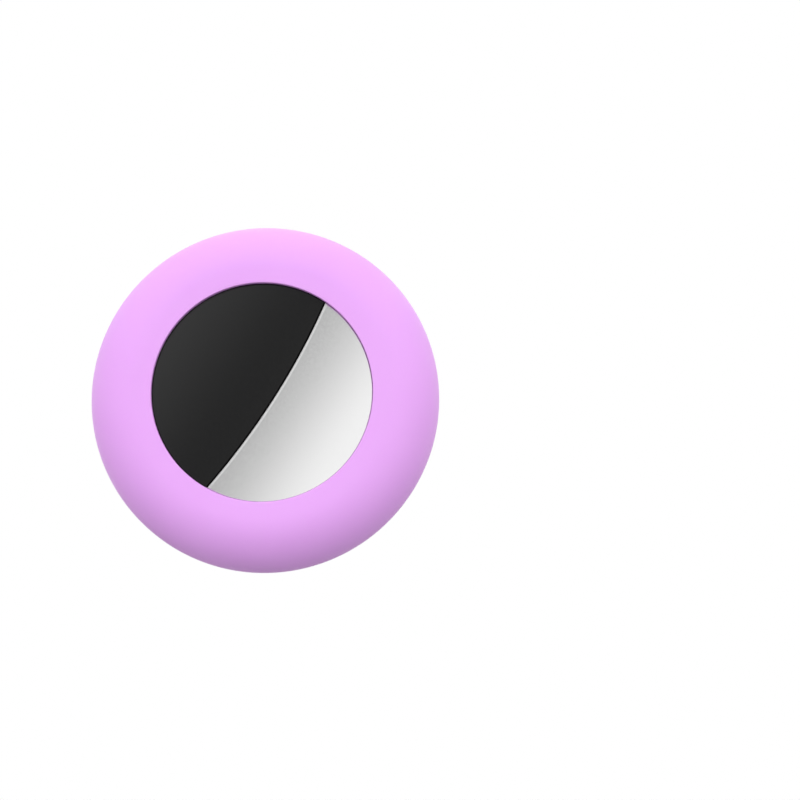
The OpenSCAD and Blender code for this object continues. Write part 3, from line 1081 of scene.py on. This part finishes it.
# Leaves that press on the cell: one under it, two at its side
contact = {
    "leaf": 0.12,
    "leafEdge": 0.03,
    "edgeSteps": 2,
    "hub": 1.7,
    "hubHole": 0.7,
    "hubSteps": 3,
    "hubSegments": 96,
    "armWide": 1.2,
    "armFrom": 1.2,
    "armTo": 6.4,
    "armSteps": 12,
    "dimple": 0.42,
    "dimpleHigh": 0.05,
    "dimpleSunk": (0.04, 0.01),  # its foot and its middle, below the leaf's face
    "dimpleAngles": range(0, 90, 15),
    "dimpleSegments": 48,
    "sideWide": 3.0,
    "sideHigh": 2.0,
    "sideAt": 10.1,
    "sideSteps": 16,
    "sideEdge": 0.02,
    "sideSharp": 60,  # edges that turn by less, in degrees, belong to the bow
    "bow": 0.06,
    "foot": 1.2,
}


def dimpleMesh(high):
    r = contact["dimple"]
    foot, middle = (high - sunk for sunk in contact["dimpleSunk"])
    rise = contact["dimpleHigh"]
    section = [(0, foot), (r, foot)]
    section += [(r * math.cos(math.radians(a)), middle + rise * math.sin(math.radians(a)))
                for a in contact["dimpleAngles"]]
    return latheMesh(section + [(0, middle + rise)], contact["dimpleSegments"])


# Three arms on a washer, each with a dimple
def negativeContact():
    low, high, edge = floorTop, floorTop + contact["leaf"], contact["leafEdge"]
    washer = ringSection(contact["hubHole"], contact["hub"], low, high, edge,
                         contact["hubSteps"])
    obj = makePiece(latheMesh(washer, contact["hubSegments"]), "negative_contact")
    half = contact["armWide"] / 2
    tip = contact["armTo"] - half
    start = contact["armFrom"]
    arm = [(start, half), (start, -half)]
    arm += arcPoints(tip, 0, half, -90, 90, contact["armSteps"])
    for turn in thirds:
        join(obj, slabMesh(turned(arm, turn), low, high, edge, contact["edgeSteps"]))
        dimple = dimpleMesh(high)
        bmesh.ops.translate(dimple, verts=dimple.verts[:], vec=standUp(*polar(tip, turn), 0))
        join(obj, dimple)
    return obj


# A bowed leaf at the bay's wall with a foot bent outwards
def addSideContact(bm, angle):
    leaf, high = contact["leaf"], contact["sideHigh"]
    inside, outside = [], []
    for k in range(contact["sideSteps"] + 1):
        t = k / contact["sideSteps"]
        r = contact["sideAt"] - contact["bow"] * math.sin(math.pi * t) ** 2
        inside.append((r, floorTop + high * t))
        outside.append((r + leaf, floorTop + leaf + (high - leaf) * t))
    foot = contact["sideAt"] + contact["foot"]
    outline = [(foot, floorTop + leaf), (foot, floorTop)] + inside + outside[::-1]
    half = contact["sideWide"] / 2
    rows = []
    for y in (-half, half):
        places = turned([(r, y) for r, _ in outline], angle)
        rows.append([bm.verts.new(standUp(*place, z)) for place, (_, z) in zip(places, outline)])
    addBar(bm, rows)


def positiveContacts():
    bm = bmesh.new()
    for angle in inner["contactTurns"]:
        addSideContact(bm, angle)
    faceOutwards(bm)
    bevelEdges(bm, sharpEdges(bm, contact["sideSharp"]), contact["sideEdge"],
               contact["edgeSteps"])
    return bm


standsFor(negativeContact(), "negative_contact")
makeAndPlace(positiveContacts(), "positive_contacts")

# A band round the frame's wall, open at the top
antenna = {"thick": 0.15, "gap": 30, "gapAt": 90, "edge": 0.03, "steps": 220}


def antennaMesh():
    _, rear, front = reachOf("antenna_ring")
    near = innerReach.radius
    section = ringSection(near, near + antenna["thick"], rear, front, antenna["edge"])
    gap, steps = antenna["gap"], antenna["steps"]
    bm = bmesh.new()
    rows = []
    for i in range(steps + 1):
        angle = antenna["gapAt"] + gap / 2 + (360 - gap) * i / steps
        rows.append([bm.verts.new(standUp(*polar(r, angle), z)) for r, z in section])
    addBar(bm, rows)
    return faceOutwards(bm)


# The board has a hole for the magnet, three for the frame's pegs, a key at the bottom and vias
# round its edge
board = {"radius": 11, "edge": 0.05, "holeGap": 0.4, "pegHole": 0.55, "key": 1.2,
         "keyTurn": -90, "vias": 36, "viaAt": 10.6, "via": 0.12}


def circuitBoard():
    _, rear, front = boardReach
    radius, key = board["radius"], board["key"]
    hole = yokeReach.radius + board["holeGap"]
    obj = makePiece(latheMesh(ringSection(hole, radius, rear, front, board["edge"])),
                    "circuit_board")
    vias = [polar(board["viaAt"], 360 * (i + 0.5) / board["vias"]) for i in range(board["vias"])]
    cutters = [barOutline(radius - key / 2, radius + key / 2, key, board["keyTurn"])]
    cutters += [discOutline(place, board["pegHole"]) for place in pegPlaces]
    cutters += [discOutline(place, board["via"]) for place in vias]
    carve(obj, cutterMesh(cutters, rear - cutPast, front + cutPast))
    return obj


makeAndPlace(antennaMesh(), "antenna_ring")
standsFor(circuitBoard(), "circuit_board")

# Each package is given by its turn round the axis and its share of the largest one's length and
# width. A dimple marks the first pin of the large ones
package = {
    "at": 6.7,
    "long": 2.6,
    "wide": 3.0,
    "edge": 0.05,
    "large": [(75, 1, 1), (115, 0.6, 0.65), (330, 0.8, 0.8)],
    "small": [(225 + 12 * i, 0.4, 0.2) for i in range(5)],
    "mark": 0.14,
    "markIn": 0.35,
    "markDeep": 0.05,
}
shield = {"turn": 180, "wide": 4.6, "corner": 0.35, "edge": 0.07, "vent": 0.15,
          "ventRows": (-0.4, 0.4), "ventColumns": (-1.6, -0.8, 0, 0.8, 1.6), "ventDeep": 0.08}
chipReach = reachOf("board_chips")


def boardChips():
    _, rear, front = chipReach
    at, markIn = package["at"], package["markIn"]
    obj = None
    for turn, long, wide in package["large"] + package["small"]:
        half = long * package["long"] / 2
        outline = barOutline(at - half, at + half, wide * package["wide"], turn)
        slab = slabMesh(outline, rear, front, package["edge"])
        if obj:
            join(obj, slab)
        else:
            obj = makePiece(slab, "board_chips")
    marks = []
    for turn, long, wide in package["large"]:
        corner = (at - long * package["long"] / 2 + markIn, wide * package["wide"] / 2 - markIn)
        marks.append(discOutline(turned([corner], turn)[0], package["mark"]))
    carve(obj, cutterMesh(marks, rear - cutPast, rear + package["markDeep"]))
    return obj


def radioShield():
    _, rear, front = chipReach
    at, half = package["at"], package["long"] / 2
    outline = padOutline(at - half, at + half, shield["wide"], shield["corner"],
                         shield["turn"])
    obj = makePiece(slabMesh(outline, rear, front, shield["edge"]), "radio_shield")
    vents = [discOutline((x - at, y), shield["vent"])
             for x in shield["ventRows"] for y in shield["ventColumns"]]
    carve(obj, cutterMesh(vents, rear - cutPast, rear + shield["ventDeep"]))
    return obj


standsFor(boardChips(), "board_chips")
standsFor(radioShield(), "radio_shield")

# The sounder's coil and the cup round its magnet
sounder = {"wire": 0.1, "wireSteps": 4, "groove": 0.025, "coilGap": 0.35, "coilSegments": 120,
           "yokeWall": 0.5, "yokeEdge": 0.08}
discSegments = 160  # for the yoke and the plain discs


# Half section of a winding, with the round backs of its wires on all four sides
def windingMesh():
    far, rear, front = reachOf("voice_coil")
    near = reachOf("speaker_magnet").radius + sounder["coilGap"]
    steps, groove = sounder["wireSteps"], sounder["groove"]
    corners = [Vector(c) for c in ((near, rear), (far, rear), (far, front), (near, front))]
    section = []
    for start, end in zip(corners, corners[1:] + corners[:1]):
        along = (end - start).normalized()
        inwards = Vector((-along.y, along.x))
        count = steps * round((end - start).length / sounder["wire"])
        for k in range(1, count):
            sink = groove * (1 - math.sin(math.pi * (k % steps) / steps))
            section.append(tuple(start.lerp(end, k / count) + inwards * sink))
    return latheMesh(section, sounder["coilSegments"])


def yokeMesh():
    r, rear, front = yokeReach
    wall, edge = r - sounder["yokeWall"], sounder["yokeEdge"]
    return latheMesh(roundCorners([
        (0, front, 0), (r, front, edge), (r, rear, edge), (wall, rear, edge),
        (wall, floorBase, edge), (0, floorBase, 0)]), discSegments)


# Discs, each with the rounding of its rim
discs = {"pole_plate": 0.06, "speaker_magnet": 0.12, "cell_cathode": 0.1, "cell_separator": 0.05,
         "cell_anode": 0.08}

makeAndPlace(windingMesh(), "voice_coil")
makeAndPlace(yokeMesh(), "magnet_yoke")
for node, edge in discs.items():
    makeAndPlace(latheMesh(ringSection(0, *reachOf(node), edge), discSegments), node)

# Seal under the rim of the shell
seal = {"gap": 0.05, "edge": 0.2, "edgeSteps": 6}
sealIn = coverReach.radius + tag["coverGap"] + seal["gap"]
makeAndPlace(latheMesh(ringSection(sealIn, *sealReach, seal["edge"], seal["edgeSteps"])),
             "seal_ring")
